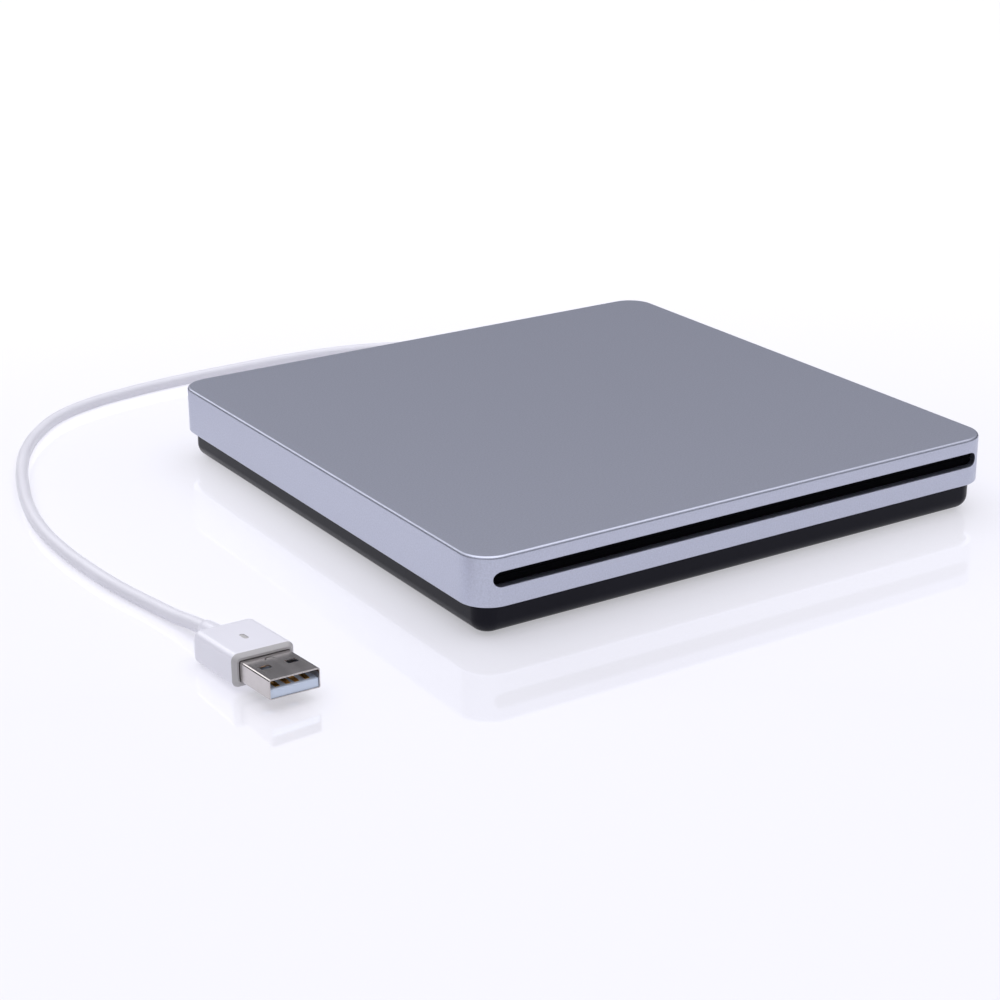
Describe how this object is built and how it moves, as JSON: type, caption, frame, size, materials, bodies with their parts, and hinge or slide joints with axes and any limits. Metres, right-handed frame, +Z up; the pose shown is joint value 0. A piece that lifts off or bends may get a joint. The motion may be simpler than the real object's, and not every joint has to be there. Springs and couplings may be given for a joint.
{
  "type": "external optical drive",
  "caption": "Square slim slot-loading external optical drive with a metal cover, tapered dark base, inner loading and laser mechanism, and a captive cord ending in a flat rectangular plug.",
  "frame": {"origin": "centre of the case's footprint, on the surface it stands on", "axes": "+X to the right along the disc slot, -Y out of the slot, +Z up; the cord leaves the +Y side"},
  "size_m": [0.2066, 0.2118, 0.02],
  "materials": {
    "aluminium": "bead-blasted, satin",
    "black_plastic": "smooth matte",
    "rubber": "matte",
    "felt": "short pile",
    "steel": "satin",
    "plated_sheet": "plated sheet",
    "grey_plastic": "moulded",
    "natural_plastic": "moulded",
    "white_plastic": "soft gloss",
    "circuit_board": "solder mask",
    "chip_black": "moulded",
    "lens_glass": "polished",
    "gold_contact": "plated"
  },
  "bodies": {
    "case": {"top_cover": "aluminium", "slot_sill": "aluminium", "base_tray": "black_plastic", "foot_front_left": "rubber", "foot_front_right": "rubber", "foot_rear_left": "rubber", "foot_rear_right": "rubber", "slot_felt_upper": "felt", "slot_felt_lower": "felt", "case_screw_front_left": "steel", "case_screw_front_right": "steel", "case_screw_rear_left": "steel", "case_screw_rear_right": "steel", "lid_screw_front_left": "steel", "lid_screw_front_right": "steel", "lid_screw_rear_left": "steel", "lid_screw_rear_right": "steel", "plug_shell": "steel", "drive_pan": "plated_sheet", "drive_lid": "plated_sheet", "loader_motor": "plated_sheet", "strain_relief": "white_plastic", "cord": "white_plastic", "plug_body": "white_plastic", "plug_tongue": "white_plastic", "drive_board": "circuit_board", "bridge_board": "circuit_board", "drive_chip": "chip_black", "bridge_chip": "chip_black", "sata_connector": "chip_black", "plug_contact_1": "gold_contact", "plug_contact_2": "gold_contact", "plug_contact_3": "gold_contact", "plug_contact_4": "gold_contact"},
    "deck": {"deck": "steel", "guide_rod_left": "steel", "guide_rod_right": "steel", "stepper": "plated_sheet", "spindle_stator": "grey_plastic"},
    "spindle": {"spindle_rotor": "steel", "turntable": "rubber", "chuck_hub": "natural_plastic", "chuck_ball_1": "steel", "chuck_ball_2": "steel", "chuck_ball_3": "steel"},
    "sled": {"sled": "grey_plastic"},
    "lens_holder": {"lens_holder": "natural_plastic", "lens": "lens_glass"},
    "lead_screw": {"lead_screw": "steel"},
    "cam_slider": {"cam_slider": "natural_plastic"},
    "loader_gear": {"loader_gear": "natural_plastic"},
    "motor_pinion": {"motor_pinion": "gold_contact"},
    "side_slider": {"side_slider": "natural_plastic"},
    "left_arm": {"left_arm": "grey_plastic"},
    "left_roller": {"left_roller": "natural_plastic"},
    "right_arm": {"right_arm": "grey_plastic"},
    "right_roller": {"right_roller": "natural_plastic"},
    "eject_arm": {"eject_arm": "grey_plastic"},
    "eject_roller": {"eject_roller": "natural_plastic"}
  },
  "joints": [
    {"name": "cam_slide", "type": "slide", "parent": "case", "child": "cam_slider", "axis": [0.7071, -0.7071, 0], "range_m": [0, 0.012]},
    {"name": "deck_tilt", "type": "hinge", "parent": "case", "child": "deck", "pos_m": [0.04738, 0.04138, 0.0098], "axis": [0.7071, -0.7071, 0], "range_deg": [0, 2.25]},
    {"name": "spindle_spin", "type": "hinge", "parent": "deck", "child": "spindle", "pos_m": [0, -0.006, 0.0126], "axis": [0, 0, 1], "continuous": true},
    {"name": "sled_slide", "type": "slide", "parent": "deck", "child": "sled", "axis": [0.7071, 0.7071, 0], "range_m": [0, 0.034]},
    {"name": "lens_focus", "type": "slide", "parent": "sled", "child": "lens_holder", "axis": [0, 0, 1], "range_m": [-0.0004, 0.0004], "stiffness_N_per_m": 30},
    {"name": "lead_screw_spin", "type": "hinge", "parent": "deck", "child": "lead_screw", "pos_m": [0.01506, 0.02844, 0.0122], "axis": [0.7071, 0.7071, 0], "range_deg": [-4081, 0]},
    {"name": "loader_gear_spin", "type": "hinge", "parent": "case", "child": "loader_gear", "pos_m": [-0.02744, -0.02495, 0.009], "axis": [0, 0, 1], "range_deg": [-172, 0]},
    {"name": "motor_pinion_spin", "type": "hinge", "parent": "case", "child": "motor_pinion", "pos_m": [-0.03635, -0.03386, 0.0115], "axis": [0, 0, 1], "range_deg": [0, 551]},
    {"name": "side_slide", "type": "slide", "parent": "case", "child": "side_slider", "axis": [0, 1, 0], "range_m": [0, 0.0101]},
    {"name": "left_arm_swing", "type": "hinge", "parent": "case", "child": "left_arm", "pos_m": [-0.057, -0.052, 0.0128], "axis": [0, 0, 1], "range_deg": [-25.1, 0]},
    {"name": "right_arm_swing", "type": "hinge", "parent": "case", "child": "right_arm", "pos_m": [0.057, -0.052, 0.0128], "axis": [0, 0, 1], "range_deg": [0, 25.1]},
    {"name": "eject_arm_swing", "type": "hinge", "parent": "case", "child": "eject_arm", "pos_m": [-0.045, 0.045, 0.0128], "axis": [0, 0, 1], "range_deg": [-30.1, 0]},
    {"name": "left_roller_spin", "type": "hinge", "parent": "left_arm", "child": "left_roller", "pos_m": [-0.06, -0.024, 0.0145], "axis": [0, 0, 1], "continuous": true},
    {"name": "right_roller_spin", "type": "hinge", "parent": "right_arm", "child": "right_roller", "pos_m": [0.06, -0.024, 0.0145], "axis": [0, 0, 1], "continuous": true},
    {"name": "eject_roller_spin", "type": "hinge", "parent": "eject_arm", "child": "eject_roller", "pos_m": [-0.02, 0.053, 0.0145], "axis": [0, 0, 1], "continuous": true}
  ],
  "couplings": [
    {"joint": "deck_tilt", "follows": "cam_slide", "rad_per_m": 3.2314},
    {"joint": "loader_gear_spin", "follows": "cam_slide", "rad_per_m": -250},
    {"joint": "motor_pinion_spin", "follows": "cam_slide", "rad_per_m": 800},
    {"joint": "side_slide", "follows": "cam_slide", "ratio": 0.8333},
    {"joint": "left_arm_swing", "follows": "cam_slide", "rad_per_m": -36.36},
    {"joint": "right_arm_swing", "follows": "cam_slide", "rad_per_m": 36.36},
    {"joint": "eject_arm_swing", "follows": "cam_slide", "rad_per_m": -43.63},
    {"joint": "lead_screw_spin", "follows": "sled_slide", "rad_per_m": -2094.4}
  ]
}
